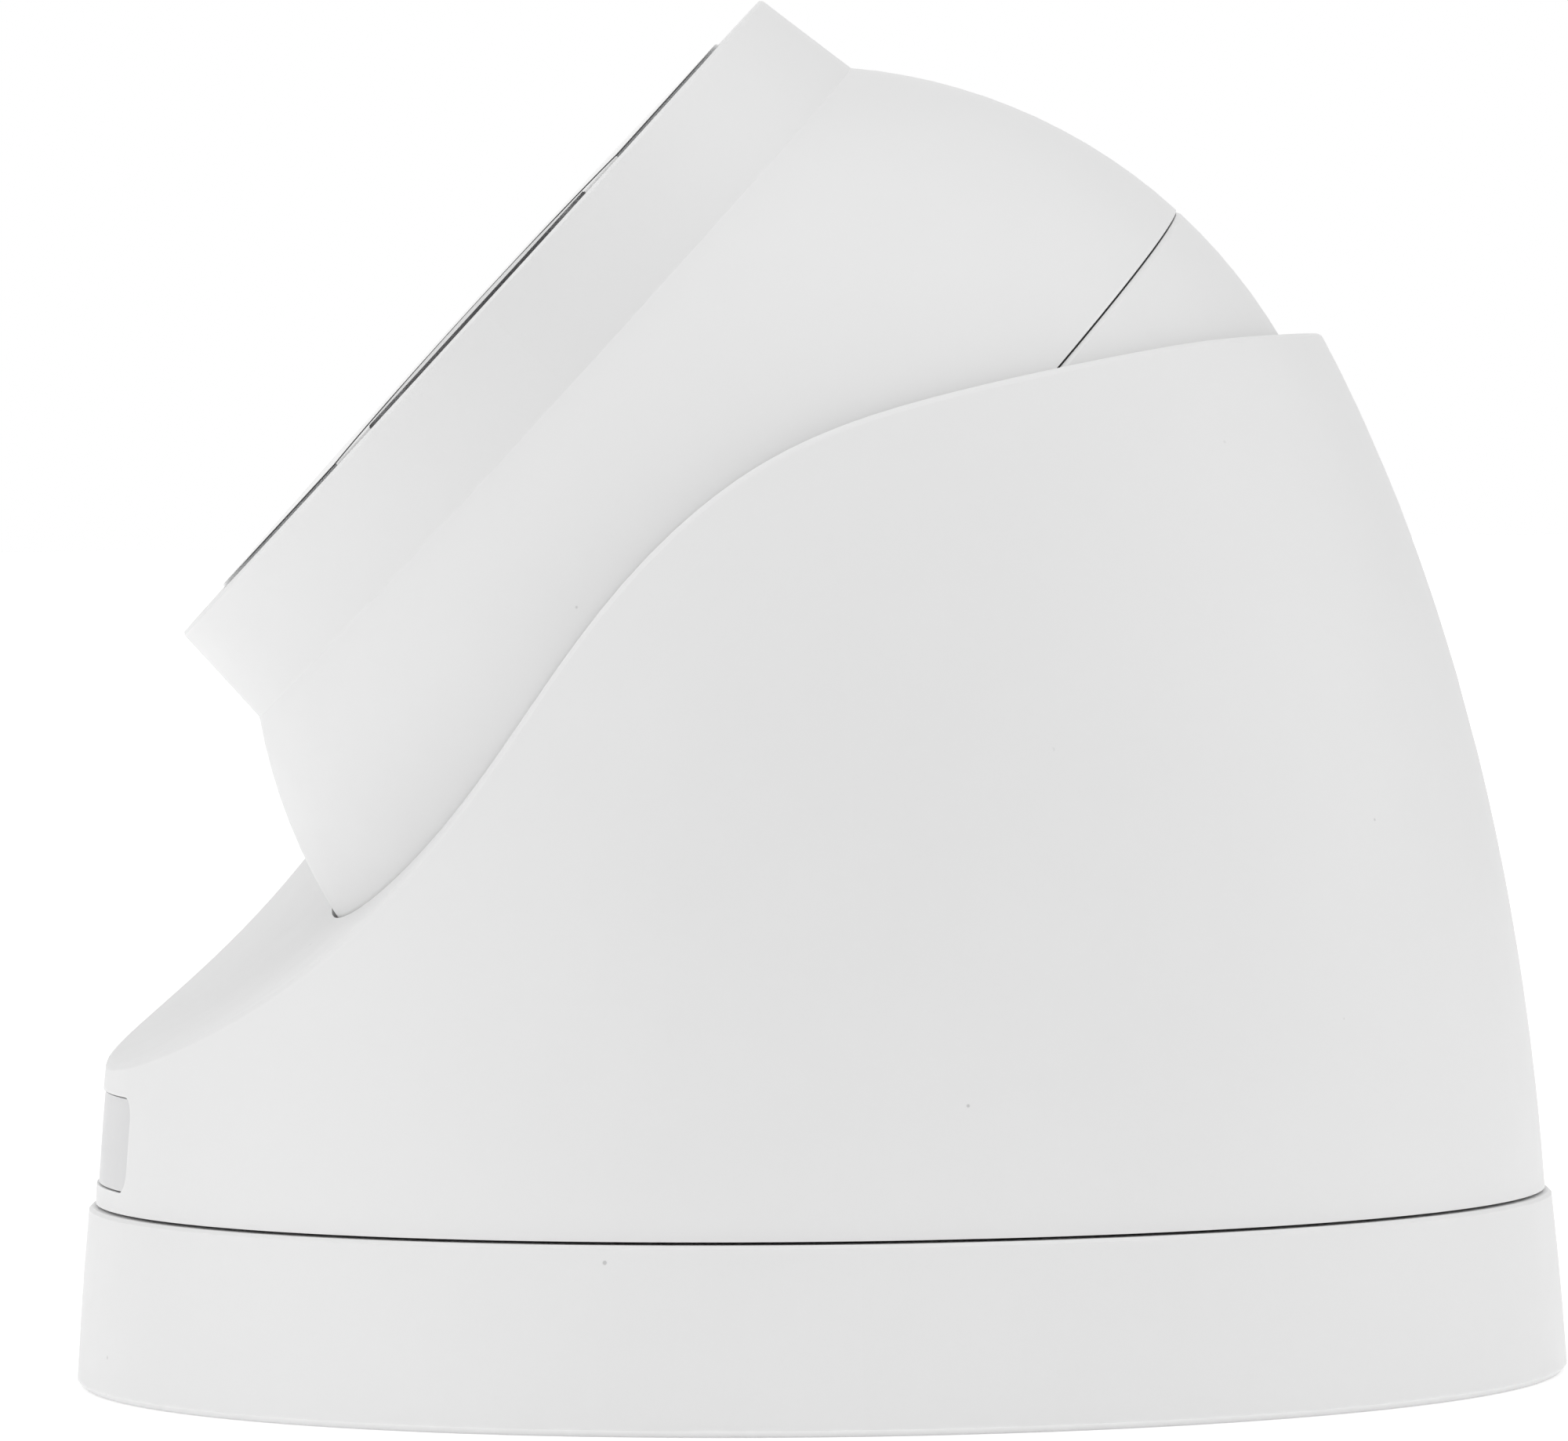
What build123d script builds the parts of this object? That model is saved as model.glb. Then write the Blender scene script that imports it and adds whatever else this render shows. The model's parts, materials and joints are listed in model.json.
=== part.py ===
"""Turret security camera: a ball-shaped camera head held in a scooped dome cover on a round base.

Millimetres. The origin is the centre of the base's flat underside, +Z is up, and the camera
head looks towards -Y and up. The cover and the head turn together about Z, the head tilts
about its own ball's X axis, and it rolls about its optical axis.
"""
from math import cos, radians, sin, sqrt
import os

from build123d import *

os.makedirs("parts", exist_ok=True)

# ---- base and its turntable ----
BASE_RADIUS = 69.2
BASE_TOP_RADIUS = 67.95
BASE_MID_RADIUS = 68.7
BASE_HEIGHT = 16.6
BASE_FLOOR = 3.0
BASE_BORE = 65.2  # inside of the base's wall
LIP_BORE = 62.0  # the turntable runs in this lip
LIP_HEIGHT = 3.2
FIXING_CIRCLE = 50.0  # radius of the circle of wall screw holes
FIXING_HOLE = 2.25
CABLE_HOLE = 17.0
GROMMET_BORE = 14.0
SEAM = 0.28  # gap between the base and the cover

# ---- dome cover: part of an ellipse turned about Z ----
DOME_RADIUS = 67.75
DOME_HEIGHT = 131.9
DOME_CENTRE_Z = 1.8
DOME_FROM = 4.0  # degrees along the ellipse: just below the cover's lower edge
DOME_SWEEP = 58.0  # up to well above the opening
COVER_WALL = 2.4
COVER_YAW = 4.5  # the cover is turned a little on its ball
EDGE_ROUND = 0.8

# ---- ball and head ----
BALL_RADIUS = 51.4
BALL_Y = -0.9
BALL_Z = 70.1
BALL_GAP = 0.3  # running gap between the ball and the cover
SHELL_WALL = 2.5
HEAD_TILT = 43.0  # elevation of the optical axis at rest
REAR_EDGE = 0.1  # rear shell's edge, just ahead of the ball's centre
FRONT_EDGE = 0.3  # front shell's edge
SEAL_LOW = -0.3  # the seal ring's seat in the rear shell's edge
SEAL_RADIUS = 50.7
RIM_BACK = 31.35  # where the rim leaves the ball, along the optical axis
RIM_FACE = 41.8
RIM_BACK_RADIUS = sqrt(BALL_RADIUS**2 - RIM_BACK**2)
RIM_FACE_RADIUS = 39.8
RIM_BREAK = 0.25  # small chamfer round the rim's face
WINDOW_RADIUS = 34.0
WINDOW_PROUD = 0.75  # at the middle of its slightly crowned face
WINDOW_THICK = 2.0
WINDOW_CROWN = 1300.0
FLAT_BACK = 46.0
SHELL_SCREW_CIRCLE = 45.8
CHASSIS_SCREW_CIRCLE = 45.2
FIT = 0.05  # radial play of a screw or a pin in its hole

BALL_CENTRE = Vector(0, BALL_Y, BALL_Z)


def direction(elevation, yaw=0.0):
    """Unit vector that points out of the front at an elevation, turned about Z by a yaw."""
    level = cos(radians(elevation))
    return Vector(sin(radians(yaw)) * level, -cos(radians(yaw)) * level, sin(radians(elevation)))


# The head's own frame: X across, Y up the front face, Z along the optical axis.
OPTICAL = direction(HEAD_TILT)
HEAD = Plane(origin=BALL_CENTRE, x_dir=(1, 0, 0), z_dir=OPTICAL)
# Its section plane: radius across, distance along the optical axis up.
HEAD_SECTION = Plane(origin=BALL_CENTRE, x_dir=(1, 0, 0), z_dir=-HEAD.y_dir)
HEAD_AXIS = Axis(BALL_CENTRE, OPTICAL)
# The cover's side plane: its own rearward direction across, Z up.
COVER_SIDE = Plane(
    origin=(0, 0, 0),
    x_dir=(-sin(radians(COVER_YAW)), cos(radians(COVER_YAW)), 0),
    z_dir=(cos(radians(COVER_YAW)), sin(radians(COVER_YAW)), 0),
)
FLOOR = Plane.XY


def disc(plane, level, height, radius, bore=0.0, mode=Mode.ADD):
    """Extrude a disc, or a ring when it has a bore, from a level above the plane."""
    with BuildSketch(plane.offset(level)) as outline:
        Circle(radius)
        if bore > 0:
            Circle(bore, mode=Mode.SUBTRACT)
    extrude(outline.sketch, amount=height, mode=mode)


def posts(plane, level, height, radius, circle, count, start=0.0, mode=Mode.ADD):
    """Extrude equal round posts, or cut equal holes, spaced evenly on a circle."""
    with BuildSketch(plane.offset(level)) as outline:
        with PolarLocations(circle, count, start):
            Circle(radius)
    extrude(outline.sketch, amount=height, mode=mode)


def block(plane, level, height, width, depth, x=0.0, y=0.0, corner=0.0, mode=Mode.ADD):
    """Extrude a rectangle, with rounded corners when asked, from a level above the plane."""
    with BuildSketch(plane.offset(level)) as outline:
        with Locations((x, y)):
            if corner > 0:
                RectangleRounded(width, depth, corner)
            else:
                Rectangle(width, depth)
    extrude(outline.sketch, amount=height, mode=mode)


def turned(plane, axis, *points, mode=Mode.ADD):
    """Turn a closed outline of straight edges about an axis."""
    with BuildSketch(plane) as outline:
        with BuildLine():
            Polyline(*points, close=True)
        make_face()
    revolve(outline.sketch, axis=axis, mode=mode)


def screws(plane, seat, length, radius, circle, count, start=0.0, head=1.9, head_height=1.8):
    """Pan-head screws on a circle: shanks run up from the seat, heads hang below it.

    A negative length turns the screws over. Each head has a hexagon socket.
    """
    side = 1 if length > 0 else -1
    posts(plane, seat, length, radius, circle, count, start)
    posts(plane, seat - side * head_height, side * head_height, radius * head, circle, count, start)
    with BuildSketch(plane.offset(seat - side * head_height)) as sockets:
        with PolarLocations(circle, count, start):
            RegularPolygon(radius * 0.8, 6)
    extrude(sockets.sketch, amount=side * head_height * 0.6, mode=Mode.SUBTRACT)


def dome(wall=0.0, mode=Mode.ADD):
    """Turn the dome's outline about Z; a wall makes it smaller."""
    across = DOME_RADIUS - wall
    tall = DOME_HEIGHT - wall
    with BuildSketch(Plane.XZ) as outline:
        with BuildLine():
            centre = (0, DOME_CENTRE_Z)
            curve = EllipticalCenterArc(centre, across, tall, DOME_FROM, arc_size=DOME_SWEEP)
            Polyline(curve @ 1, (0, (curve @ 1).Y), (0, (curve @ 0).Y), curve @ 0)
        make_face()
    revolve(outline.sketch, axis=Axis.Z, mode=mode)


# ---- scoop: the cover's opening, an S-shaped side outline that is slightly dished across ----
SCOOP_POINTS = [
    (-66, 30.0), (-55.4, 35.3), (-42.2, 45.8), (-28.4, 63.7),
    (-15, 78.9), (-1.6, 85.9), (23, 92.4), (47, 96.2),
]
SCOOP_START = (1, 0.42)
SCOOP_END = (1, 0.12)
DISH_RADIUS = 500.0
DISH_SLOPE = 40.0  # the dish's axis is parallel to the scoop's middle slope
DISH_MIDDLE = (-42.2, 45.8)
DISH_SWEEP = 24.0
REACH = 80.0  # beyond the dome on every side
SLOPE_ALONG = Vector(cos(radians(DISH_SLOPE)), sin(radians(DISH_SLOPE)))
SLOPE_UP = Vector(-SLOPE_ALONG.Y, SLOPE_ALONG.X)
DISH_AXIS = Axis(
    COVER_SIDE.from_local_coords(Vector(*DISH_MIDDLE) + SLOPE_UP * DISH_RADIUS),
    COVER_SIDE.x_dir * SLOPE_ALONG.X + Vector(0, 0, SLOPE_ALONG.Y),
)


def scoop_points(wall):
    """The scoop's points, moved down along the curve's own normals by a wall."""
    curve = Spline(*SCOOP_POINTS, tangents=[SCOOP_START, SCOOP_END])
    steps = len(SCOOP_POINTS) - 1
    moved = []
    for step in range(steps + 1):
        along = curve % (step / steps)
        moved.append(curve @ (step / steps) - Vector(-along.Y, along.X) * wall)
    return moved


def cut_scoop(wall=0.0):
    """Remove what lies above the scoop's surface, or above that surface moved down by a wall."""
    points = scoop_points(wall)
    with BuildSketch(COVER_SIDE) as outline:
        with BuildLine():
            curve = Spline(*points, tangents=[SCOOP_START, SCOOP_END])
            front = Line(curve @ 0, curve @ 0 - (curve % 0) * 25)
            back = Line(curve @ 1, curve @ 1 + (curve % 1) * 40)
            Polyline(front @ 1, (-REACH - 10, 2 * REACH), (REACH + 10, 2 * REACH), back @ 1)
        make_face()
    start = outline.sketch.rotate(DISH_AXIS, -DISH_SWEEP / 2)
    revolve(start, axis=DISH_AXIS, revolution_arc=DISH_SWEEP, mode=Mode.SUBTRACT)


# =====================================================================================
# Base: stays on the wall or ceiling
# =====================================================================================
GASKET_GROOVE = (60.0, 64.0, 1.2)  # inner and outer radius, depth

with BuildPart() as mounting_base:
    with BuildSketch(Plane.XZ):
        with BuildLine():
            Line((0, 0), (BASE_RADIUS - 0.6, 0))
            Line((BASE_RADIUS - 0.6, 0), (BASE_RADIUS, 0.6))
            side_top = (BASE_TOP_RADIUS, BASE_HEIGHT - 0.3)
            side = ThreePointArc((BASE_RADIUS, 0.6), (BASE_MID_RADIUS, 8), side_top)
            Line(side @ 1, (BASE_TOP_RADIUS - 0.3, BASE_HEIGHT))
            Line((BASE_TOP_RADIUS - 0.3, BASE_HEIGHT), (LIP_BORE, BASE_HEIGHT))
            Line((LIP_BORE, BASE_HEIGHT), (LIP_BORE, BASE_HEIGHT - LIP_HEIGHT))
            Line((LIP_BORE, BASE_HEIGHT - LIP_HEIGHT), (BASE_BORE, BASE_HEIGHT - LIP_HEIGHT))
            Line((BASE_BORE, BASE_HEIGHT - LIP_HEIGHT), (BASE_BORE, BASE_FLOOR))
            Line((BASE_BORE, BASE_FLOOR), (0, BASE_FLOOR))
            Line((0, BASE_FLOOR), (0, 0))
        make_face()
    revolve(axis=Axis.Z)
    # stiffening ribs and a boss round each fixing hole
    with BuildSketch(FLOOR.offset(BASE_FLOOR)):
        with PolarLocations(0, 12, 15):
            with Locations((43.5, 0)):
                Rectangle(44, 1.8)
        with PolarLocations(FIXING_CIRCLE, 4, 45):
            Circle(6)
    extrude(amount=3)
    disc(FLOOR, BASE_FLOOR, 3, 24, 21.5)
    disc(FLOOR, 0, GASKET_GROOVE[2], GASKET_GROOVE[1], GASKET_GROOVE[0], mode=Mode.SUBTRACT)
    posts(FLOOR, 0, BASE_HEIGHT, FIXING_HOLE, FIXING_CIRCLE, 4, 45, mode=Mode.SUBTRACT)
    disc(FLOOR, 0, BASE_HEIGHT, CABLE_HOLE, mode=Mode.SUBTRACT)
mounting_base.part.label = "mounting_base"
export_step(mounting_base.part, "parts/mounting_base.step")

with BuildPart() as foam_gasket:
    disc(FLOOR, 0, GASKET_GROOVE[2], GASKET_GROOVE[1] - 0.2, GASKET_GROOVE[0] + 0.2)
foam_gasket.part.label = "foam_gasket"
export_step(foam_gasket.part, "parts/foam_gasket.step")

with BuildPart() as cable_grommet:
    turned(
        Plane.XZ, Axis.Z,
        (GROMMET_BORE, 0.2), (CABLE_HOLE - FIT, 0.2), (CABLE_HOLE - FIT, BASE_FLOOR + FIT),
        (CABLE_HOLE + 3.5, BASE_FLOOR + FIT), (CABLE_HOLE + 3.0, 5.6), (GROMMET_BORE + 0.6, 6.2),
        (GROMMET_BORE, 5.8),
    )
cable_grommet.part.label = "cable_grommet"
export_step(cable_grommet.part, "parts/cable_grommet.step")

# =====================================================================================
# Cover and turntable: turn together about Z
# =====================================================================================
PLATE_LOW = BASE_HEIGHT + 0.3
PLATE_HIGH = PLATE_LOW + 3.0
PLATE_RADIUS = 64.6
SPIGOT_RADIUS = LIP_BORE - 0.06
SPIGOT_BORE = 57.0
SPIGOT_LOW = BASE_HEIGHT - LIP_HEIGHT - 0.15
RING_LOW = SPIGOT_LOW - 3.2
RING_RADIUS = 64.4
RING_BORE = 54.5
RING_SCREW_CIRCLE = 59.4
COVER_SCREW_CIRCLE = 50.0
COVER_SCREW_START = 45.0 + COVER_YAW
COVER_BOSS_TOP = 33.0
SEAT_BORE = 31.0
SEAT_RADIUS = 44.0
SEAT_TOP = 36.0
PAD_THICK = 1.0
GLAND_SLOT = 24.0  # width of the way for the cable gland as the head tilts
COVER_LOW = BASE_HEIGHT + SEAM

with BuildPart() as turntable:
    disc(FLOOR, PLATE_LOW, PLATE_HIGH - PLATE_LOW, PLATE_RADIUS, SEAT_BORE)
    disc(FLOOR, SPIGOT_LOW, PLATE_LOW - SPIGOT_LOW, SPIGOT_RADIUS, SPIGOT_BORE)
    disc(FLOOR, PLATE_HIGH, SEAT_TOP - PLATE_HIGH, SEAT_RADIUS, SEAT_BORE)
    with Locations(BALL_CENTRE):
        Sphere(BALL_RADIUS + BALL_GAP + PAD_THICK, mode=Mode.SUBTRACT)
    block(FLOOR, SPIGOT_LOW, SEAT_TOP, GLAND_SLOT, 48, y=24, mode=Mode.SUBTRACT)
    posts(FLOOR, SPIGOT_LOW, REACH, 1.6, COVER_SCREW_CIRCLE, 4, COVER_SCREW_START, mode=Mode.SUBTRACT)
    posts(FLOOR, SPIGOT_LOW, 4.0, 1.25 + FIT, RING_SCREW_CIRCLE, 6, 0, mode=Mode.SUBTRACT)
    # pockets that lighten the seat
    posts(FLOOR, PLATE_LOW, 9.0, 4.0, (SEAT_BORE + SEAT_RADIUS) / 2, 12, 15, mode=Mode.SUBTRACT)
turntable.part.label = "turntable"
export_step(turntable.part, "parts/turntable.step")

with BuildPart() as pan_slip_ring:
    disc(FLOOR, BASE_HEIGHT + FIT, PLATE_LOW - BASE_HEIGHT - FIT, PLATE_RADIUS, LIP_BORE + 0.3)
pan_slip_ring.part.label = "pan_slip_ring"
export_step(pan_slip_ring.part, "parts/pan_slip_ring.step")

with BuildPart() as retaining_ring:
    disc(FLOOR, RING_LOW, SPIGOT_LOW - RING_LOW, RING_RADIUS, RING_BORE)
    posts(FLOOR, RING_LOW, REACH, 1.25 + FIT, RING_SCREW_CIRCLE, 6, 0, mode=Mode.SUBTRACT)
retaining_ring.part.label = "retaining_ring"
export_step(retaining_ring.part, "parts/retaining_ring.step")

with BuildPart() as retaining_screws:
    screws(FLOOR, RING_LOW, 6.5, 1.25, RING_SCREW_CIRCLE, 6)
retaining_screws.part.label = "retaining_screws"
export_step(retaining_screws.part, "parts/retaining_screws.step")

with BuildPart() as friction_pads:
    disc(FLOOR, 22, SEAT_TOP - 22, SEAT_RADIUS - 5, SEAT_BORE + 2)
    with Locations(BALL_CENTRE):
        Sphere(BALL_RADIUS + BALL_GAP + PAD_THICK, mode=Mode.INTERSECT)
        Sphere(BALL_RADIUS + BALL_GAP, mode=Mode.SUBTRACT)
    with BuildSketch(FLOOR.offset(20)) as gaps:
        with PolarLocations(36, 4):
            Rectangle(20, GLAND_SLOT + 4)
    extrude(gaps.sketch, amount=30, mode=Mode.SUBTRACT)
friction_pads.part.label = "friction_pads"
export_step(friction_pads.part, "parts/friction_pads.step")

# ---- ball lock: a grub screw in the cover's far rear side presses a shoe on the ball ----
LOCK_ANGLE = -150.0 + COVER_YAW
LOCK_Z = 62.0
LOCK_OUT = Vector(sin(radians(LOCK_ANGLE)), -cos(radians(LOCK_ANGLE)), 0)
LOCK = Plane(origin=(0, 0, LOCK_Z), x_dir=(0, 0, 1), z_dir=LOCK_OUT)
LOCK_BALL = 50.2  # where the shoe stops, just off the ball
LOCK_SHOE = 2.6
LOCK_SCREW = 2.0
LOCK_END = 59.0

# ---- blank badge on the front of the cover ----
BADGE_Z = 23.1
BADGE_SIZE = (28.0, 8.4)
BADGE_THICK = 0.6
COVER_FRONT = Plane(origin=(0, 0, BADGE_Z), x_dir=-COVER_SIDE.z_dir, z_dir=direction(0, COVER_YAW))

with BuildPart() as badge_plate:
    dome(0.2)
    with BuildSketch(COVER_FRONT) as badge_outline:
        RectangleRounded(BADGE_SIZE[0], BADGE_SIZE[1], 2.0)
    extrude(badge_outline.sketch, amount=100, mode=Mode.INTERSECT)
    dome(0.2 + BADGE_THICK, mode=Mode.SUBTRACT)
badge_plate.part.label = "badge_plate"
export_step(badge_plate.part, "parts/badge_plate.step")

with BuildPart() as badge_recess:
    dome(-1.0)
    with BuildSketch(COVER_FRONT) as recess_outline:
        RectangleRounded(BADGE_SIZE[0] + 0.3, BADGE_SIZE[1] + 0.3, 2.15)
    extrude(recess_outline.sketch, amount=100, mode=Mode.INTERSECT)
    dome(0.25 + BADGE_THICK, mode=Mode.SUBTRACT)

with BuildPart() as cover_cavity:
    dome(COVER_WALL)
    cut_scoop(COVER_WALL)

with BuildPart() as cover_bosses:
    posts(FLOOR, PLATE_HIGH, COVER_BOSS_TOP - PLATE_HIGH, 4, COVER_SCREW_CIRCLE, 4, COVER_SCREW_START)
    with BuildSketch(FLOOR.offset(PLATE_HIGH)) as webs:
        with PolarLocations(0, 4, COVER_SCREW_START):
            with Locations((COVER_SCREW_CIRCLE + 7.5, 0)):
                Rectangle(15, 3)
    extrude(webs.sketch, amount=COVER_BOSS_TOP - PLATE_HIGH)
    disc(LOCK, LOCK_BALL + 1.2, 6.8, 4.5)
    posts(FLOOR, PLATE_HIGH, 10, 1.25 + FIT, COVER_SCREW_CIRCLE, 4, COVER_SCREW_START, mode=Mode.SUBTRACT)

with BuildPart() as cover:
    dome()
    disc(FLOOR, COVER_LOW, 200, DOME_RADIUS + 5, mode=Mode.INTERSECT)
    cut_scoop()
    rim_edges = cover.edges().filter_by(GeomType.BSPLINE).filter_by(lambda edge: edge.center().Z > 25)
    fillet(rim_edges, EDGE_ROUND)
    add(cover_cavity.part, mode=Mode.SUBTRACT)
    add(cover_bosses.part)
    with Locations(BALL_CENTRE):
        Sphere(BALL_RADIUS + BALL_GAP, mode=Mode.SUBTRACT)
    disc(LOCK, 40, 30, LOCK_SCREW + FIT, mode=Mode.SUBTRACT)
    add(badge_recess.part, mode=Mode.SUBTRACT)
cover.part.label = "cover"
export_step(cover.part, "parts/cover.step")

with BuildPart() as cover_screws:
    screws(FLOOR, PLATE_LOW, 11, 1.25, COVER_SCREW_CIRCLE, 4, COVER_SCREW_START)
cover_screws.part.label = "cover_screws"
export_step(cover_screws.part, "parts/cover_screws.step")

with BuildPart() as lock_screw:
    disc(LOCK, LOCK_BALL + LOCK_SHOE + FIT, LOCK_END - LOCK_BALL - LOCK_SHOE - FIT, LOCK_SCREW)
    with BuildSketch(LOCK.offset(LOCK_END)):
        RegularPolygon(1.1, 6)
    extrude(amount=-3, mode=Mode.SUBTRACT)
lock_screw.part.label = "lock_screw"
export_step(lock_screw.part, "parts/lock_screw.step")

with BuildPart() as lock_shoe:
    disc(LOCK, LOCK_BALL - 1, LOCK_SHOE + 1, LOCK_SCREW - FIT)
    with Locations(BALL_CENTRE):
        Sphere(BALL_RADIUS + BALL_GAP, mode=Mode.SUBTRACT)
lock_shoe.part.label = "lock_shoe"
export_step(lock_shoe.part, "parts/lock_shoe.step")

# =====================================================================================
# Ball seal: a ring in the ball's seam, which tilts with the ball
# =====================================================================================
SEAL_BORE = 49.2  # just outside the screw bosses

with BuildPart() as ball_seal:
    disc(HEAD, SEAL_LOW + FIT, FRONT_EDGE - SEAL_LOW - 2 * FIT, SEAL_RADIUS - 0.1, SEAL_BORE)
ball_seal.part.label = "ball_seal"
export_step(ball_seal.part, "parts/ball_seal.step")

# =====================================================================================
# Ball shells
# =====================================================================================
INNER = BALL_RADIUS - SHELL_WALL
RIM_WALL_BACK = RIM_BACK - 0.3
LEDGE_HIGH = RIM_FACE - 2.6
LEDGE_LOW = LEDGE_HIGH - 2.0
LEDGE_BORE = 30.2
WINDOW_SEAT = WINDOW_RADIUS + 0.15
RIM_WALL = 2.2
BOSS_DEPTH = 12.0
CHASSIS_LOW = 0.5
CHASSIS_THICK = 2.5
CHASSIS_HIGH = CHASSIS_LOW + CHASSIS_THICK
MIC_Y = -36.9


def on_sphere(radius, level):
    """Radius of a sphere's circle at a level along the optical axis."""
    return sqrt(radius**2 - level**2)


with BuildPart() as front_shell:
    with BuildSketch(HEAD_SECTION):
        with BuildLine():
            outside = ThreePointArc(
                (on_sphere(BALL_RADIUS, FRONT_EDGE), FRONT_EDGE),
                (on_sphere(BALL_RADIUS, 16), 16),
                (RIM_BACK_RADIUS, RIM_BACK),
            )
            Polyline(
                outside @ 1,
                (RIM_FACE_RADIUS, RIM_FACE - RIM_BREAK),
                (RIM_FACE_RADIUS - RIM_BREAK, RIM_FACE),
                (WINDOW_SEAT, RIM_FACE),
                (WINDOW_SEAT, LEDGE_HIGH),
                (LEDGE_BORE, LEDGE_HIGH),
                (LEDGE_BORE, LEDGE_LOW),
                (RIM_FACE_RADIUS - RIM_WALL, LEDGE_LOW),
                (on_sphere(INNER, RIM_WALL_BACK), RIM_WALL_BACK),
            )
            inside = ThreePointArc(
                (on_sphere(INNER, RIM_WALL_BACK), RIM_WALL_BACK),
                (on_sphere(INNER, 16), 16),
                (on_sphere(INNER, FRONT_EDGE), FRONT_EDGE),
            )
            Line(inside @ 1, outside @ 0)
        make_face()
    revolve(axis=HEAD_AXIS)
    posts(HEAD, FRONT_EDGE, BOSS_DEPTH, 3.2, SHELL_SCREW_CIRCLE, 4, 45)
    posts(HEAD, CHASSIS_HIGH + FIT, 10, 4.0, CHASSIS_SCREW_CIRCLE, 4)
    posts(HEAD, FRONT_EDGE, 9, 1.5 + FIT, SHELL_SCREW_CIRCLE, 4, 45, mode=Mode.SUBTRACT)
    posts(HEAD, CHASSIS_HIGH, 7, 1.25 + FIT, CHASSIS_SCREW_CIRCLE, 4, mode=Mode.SUBTRACT)
    posts(HEAD, LEDGE_LOW - 2, 10, 0.6, -MIC_Y, 1, -90, mode=Mode.SUBTRACT)
front_shell.part.label = "front_shell"
export_step(front_shell.part, "parts/front_shell.step")

# ---- card hatch in the rear shell, below and behind the ball's seam ----
HATCH_ANGLE = 125.0  # from the optical axis
HATCH_OUT = HEAD.y_dir * -sin(radians(HATCH_ANGLE)) + OPTICAL * cos(radians(HATCH_ANGLE))
HATCH = Plane(origin=BALL_CENTRE, x_dir=(1, 0, 0), z_dir=HATCH_OUT)
HATCH_SIZE = (26.0, 15.0)
HATCH_HOLE = (17.0, 10.0)
HATCH_SCREW_X = 10.6
GLAND_BORE = 9.2
BACK_INSIDE = SHELL_WALL + 0.5 - FLAT_BACK  # inner face of the flat back
VENT_Y = 17.0
VENT_HOLE = 1.5

with BuildPart() as hatch_pocket:
    block(HATCH, INNER - 3, 10, HATCH_SIZE[0] + 0.4, HATCH_SIZE[1] + 0.4, corner=2.2)
    with Locations(BALL_CENTRE):
        Sphere(BALL_RADIUS - 1.3, mode=Mode.SUBTRACT)

with BuildPart() as rear_shell:
    with BuildSketch(HEAD_SECTION):
        with BuildLine():
            outside = ThreePointArc(
                (on_sphere(BALL_RADIUS, SEAL_LOW), SEAL_LOW),
                (on_sphere(BALL_RADIUS, 26), -26),
                (on_sphere(BALL_RADIUS, FLAT_BACK), -FLAT_BACK),
            )
            Polyline(
                outside @ 1,
                (GLAND_BORE, -FLAT_BACK),
                (GLAND_BORE, BACK_INSIDE),
                (on_sphere(INNER, BACK_INSIDE), BACK_INSIDE),
            )
            inside = ThreePointArc(
                (on_sphere(INNER, BACK_INSIDE), BACK_INSIDE),
                (on_sphere(INNER, 24), -24),
                (on_sphere(INNER, SEAL_LOW), SEAL_LOW),
            )
            Polyline(
                inside @ 1,
                (SEAL_RADIUS, SEAL_LOW),
                (SEAL_RADIUS, REAR_EDGE),
                (BALL_RADIUS - 0.2, REAR_EDGE),
                outside @ 0,
            )
        make_face()
    revolve(axis=HEAD_AXIS)
    # screw bosses: each is bored through and counterbored from behind
    boss_low = -BOSS_DEPTH - 4
    posts(HEAD, boss_low, FRONT_EDGE - FIT - boss_low, 3.2, SHELL_SCREW_CIRCLE, 4, 45)
    posts(HEAD, -BOSS_DEPTH, REACH, 1.5 + FIT, SHELL_SCREW_CIRCLE, 4, 45, mode=Mode.SUBTRACT)
    posts(HEAD, -BOSS_DEPTH, -20, 3.0, SHELL_SCREW_CIRCLE, 4, 45, mode=Mode.SUBTRACT)
    posts(HEAD, -FLAT_BACK, 5, VENT_HOLE, VENT_Y, 1, 90, mode=Mode.SUBTRACT)
    block(HATCH, INNER - 3, 12, HATCH_HOLE[0], HATCH_HOLE[1], corner=1.5, mode=Mode.SUBTRACT)
    add(hatch_pocket.part, mode=Mode.SUBTRACT)
    with BuildSketch(HATCH.offset(INNER - 3)) as hatch_screw_holes:
        with Locations((-HATCH_SCREW_X, 0), (HATCH_SCREW_X, 0)):
            Circle(0.8 + FIT)
    extrude(hatch_screw_holes.sketch, amount=12, mode=Mode.SUBTRACT)
    with Locations(BALL_CENTRE):
        Sphere(BALL_RADIUS, mode=Mode.INTERSECT)
rear_shell.part.label = "rear_shell"
export_step(rear_shell.part, "parts/rear_shell.step")

with BuildPart() as shell_screws:
    screws(HEAD, -BOSS_DEPTH, 20, 1.5, SHELL_SCREW_CIRCLE, 4, 45, head=1.8)
shell_screws.part.label = "shell_screws"
export_step(shell_screws.part, "parts/shell_screws.step")

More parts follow.
